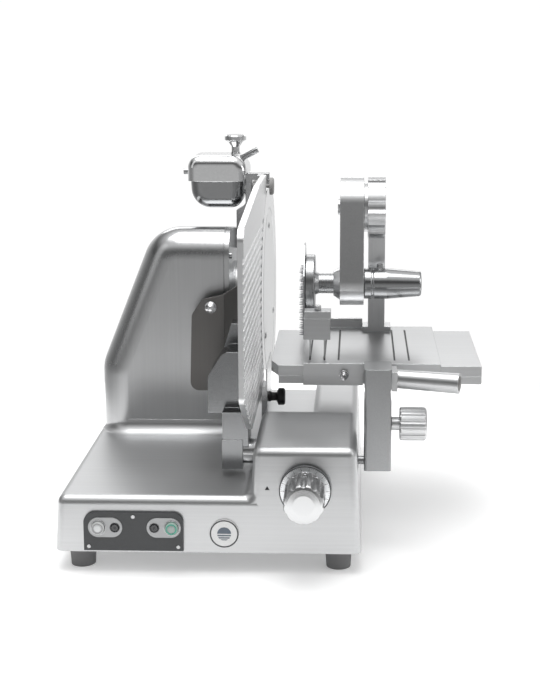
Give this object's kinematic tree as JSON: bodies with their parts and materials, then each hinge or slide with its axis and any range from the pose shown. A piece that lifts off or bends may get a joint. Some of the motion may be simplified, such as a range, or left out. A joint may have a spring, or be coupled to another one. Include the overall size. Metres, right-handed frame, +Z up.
{
  "type": "deli meat slicer",
  "caption": "Upright deli slicer: cast base, motor housing, round blade, ribbed thickness gauge, sliding food carriage with swing-over spiked pusher and top sharpener.",
  "frame": {"origin": "on the worktop, under the middle of the object's bounding box at rest", "axes": "+X to the operator's right, across the machine; +Y away from the operator, along the carriage stroke; +Z up"},
  "size_m": [0.597, 0.687, 0.567],
  "materials": {
    "cast_aluminium": "satin cast and polished",
    "brushed_aluminium": "fine brushed satin",
    "polished_aluminium": "semi polished",
    "stainless": "brushed",
    "blade_steel": "ground and hard chromed",
    "bearing_steel": "machined",
    "chrome_steel": "bright",
    "bronze": "machined",
    "motor_paint": "matt",
    "deflector_grey": "dark satin",
    "panel_grey": "satin",
    "legend_grey": "satin foil",
    "lamp_dark": "clear glossy",
    "button_white": "translucent",
    "button_green": "translucent",
    "badge_white": "printed foil",
    "dial_face": "satin with printed scale",
    "rubber": "matt",
    "black_plastic": "satin",
    "abrasive": "gritty"
  },
  "bodies": {
    "base": {"base_casting": "cast_aluminium", "bottom_cover": "stainless", "rubber_feet": "rubber", "cable_gland": "black_plastic", "motor_housing": "brushed_aluminium", "side_plate": "brushed_aluminium", "spindle_boss": "cast_aluminium", "spindle_bearings": "bearing_steel", "blade_cover": "stainless", "ring_guard": "polished_aluminium", "guard_spacers": "stainless", "motor": "motor_paint", "motor_mount": "stainless", "drive_belt": "rubber", "control_panel": "panel_grey", "legend_plates": "legend_grey", "indicator_lamps": "lamp_dark", "panel_screws": "bearing_steel", "badge_plate": "badge_white", "carriage_rod": "bearing_steel", "slice_deflector": "deflector_grey", "deflector_screw": "chrome_steel", "lower_guard": "stainless", "sharpener_bowl": "polished_aluminium", "sharpener_lid": "polished_aluminium", "sharpener_bracket": "cast_aluminium"},
    "blade_rotor": {"spindle_shaft": "bearing_steel", "blade": "blade_steel", "blade_pulley": "cast_aluminium"},
    "motor_rotor": {"motor_pulley": "bearing_steel"},
    "gauge": {"gauge_plate": "brushed_aluminium", "gauge_bracket": "cast_aluminium", "gauge_guide_bar": "bearing_steel"},
    "dial": {"dial_disc": "dial_face", "dial_knob": "polished_aluminium", "dial_shaft": "bearing_steel"},
    "start_key": {"start_button": "button_green"},
    "stop_key": {"stop_button": "button_white"},
    "carriage": {"carriage_table": "brushed_aluminium", "carriage_arm": "cast_aluminium", "carriage_handle": "brushed_aluminium", "slide_block": "bronze"},
    "carriage_lock": {"carriage_lock_knob": "polished_aluminium"},
    "feed": {"feed_table": "stainless", "rear_fence": "stainless", "pusher_post": "polished_aluminium"},
    "table_stop": {"table_stop_knob": "chrome_steel"},
    "swing_arm": {"pusher_arm": "cast_aluminium"},
    "pusher": {"pusher_shaft": "polished_aluminium", "pusher_grip": "polished_aluminium", "spike_plate": "stainless", "pusher_spikes": "bearing_steel"},
    "clamp": {"clamp_block": "brushed_aluminium"},
    "clamp_lock": {"clamp_screw": "bearing_steel"},
    "guard_lock": {"guard_knob": "black_plastic"},
    "sharpener_top": {"sharpener_knob": "chrome_steel"},
    "grinder": {"grinding_plunger": "chrome_steel"},
    "grinder_wheel": {"grinding_stone": "abrasive"},
    "hone_key": {"honing_button": "chrome_steel"},
    "hone": {"honing_stone": "abrasive"}
  },
  "joints": [
    {"name": "blade_spin", "type": "hinge", "parent": "base", "child": "blade_rotor", "pos_m": [-0.0325, 0.1555, 0.309], "axis": [1, 0, 0], "continuous": true},
    {"name": "motor_spin", "type": "hinge", "parent": "base", "child": "motor_rotor", "pos_m": [-0.1855, 0.1555, 0.186], "axis": [1, 0, 0], "continuous": true},
    {"name": "gauge_slide", "type": "slide", "parent": "base", "child": "gauge", "axis": [-1, 0, 0], "range_m": [0, 0.015]},
    {"name": "dial_turn", "type": "hinge", "parent": "base", "child": "dial", "pos_m": [0.0465, -0.2835, 0.121], "axis": [0, -1, 0], "range_deg": [0, 300]},
    {"name": "start_press", "type": "slide", "parent": "base", "child": "start_key", "axis": [0, 1, 0], "range_m": [0, 0.003], "stiffness_N_per_m": 400},
    {"name": "stop_press", "type": "slide", "parent": "base", "child": "stop_key", "axis": [0, 1, 0], "range_m": [0, 0.003], "stiffness_N_per_m": 400},
    {"name": "carriage_slide", "type": "slide", "parent": "base", "child": "carriage", "axis": [0, 1, 0], "range_m": [0, 0.33]},
    {"name": "carriage_lock_turn", "type": "hinge", "parent": "carriage", "child": "carriage_lock", "pos_m": [0.1945, -0.1745, 0.183], "axis": [1, 0, 0], "range_deg": [0, 180]},
    {"name": "feed_slide", "type": "slide", "parent": "carriage", "child": "feed", "axis": [1, 0, 0], "range_m": [-0.045, 0.055]},
    {"name": "table_stop_turn", "type": "hinge", "parent": "feed", "child": "table_stop", "pos_m": [0.097, -0.1335, 0.239], "axis": [0, 1, 0], "range_deg": [0, 180]},
    {"name": "arm_swing", "type": "hinge", "parent": "feed", "child": "swing_arm", "pos_m": [0.1145, 0.1065, 0.456], "axis": [1, 0, 0], "range_deg": [-100, 0]},
    {"name": "pusher_slide", "type": "slide", "parent": "swing_arm", "child": "pusher", "axis": [1, 0, 0], "range_m": [0, 0.02]},
    {"name": "clamp_slide", "type": "slide", "parent": "feed", "child": "clamp", "axis": [0, 1, 0], "range_m": [0, 0.06]},
    {"name": "clamp_screw_turn", "type": "hinge", "parent": "clamp", "child": "clamp_lock", "pos_m": [0.0575, -0.078, 0.32], "axis": [0, 0, 1], "range_deg": [0, 180]},
    {"name": "guard_knob_turn", "type": "hinge", "parent": "base", "child": "guard_lock", "pos_m": [-0.0055, -0.0435, 0.184], "axis": [1, 0, 0], "range_deg": [0, 180]},
    {"name": "sharpener_knob_turn", "type": "hinge", "parent": "base", "child": "sharpener_top", "pos_m": [-0.0835, 0.1555, 0.54], "axis": [0, 0, 1], "range_deg": [0, 180]},
    {"name": "grinder_press", "type": "slide", "parent": "base", "child": "grinder", "axis": [1, 0, 0], "range_m": [0, 0.012], "stiffness_N_per_m": 300},
    {"name": "grinder_spin", "type": "hinge", "parent": "grinder", "child": "grinder_wheel", "pos_m": [-0.0555, 0.1845, 0.47], "axis": [1, 0, 0], "continuous": true},
    {"name": "hone_key_press", "type": "slide", "parent": "base", "child": "hone_key", "axis": [-0.8829, 0, -0.4695], "range_m": [0, 0.0035], "stiffness_N_per_m": 300},
    {"name": "hone_press", "type": "slide", "parent": "base", "child": "hone", "axis": [-1, 0, 0], "range_m": [0, 0.0035]}
  ],
  "couplings": [
    {"joint": "motor_spin", "follows": "blade_spin", "ratio": 2.75},
    {"joint": "dial_turn", "follows": "gauge_slide", "rad_per_m": 349},
    {"joint": "hone_press", "follows": "hone_key_press", "ratio": 1}
  ]
}
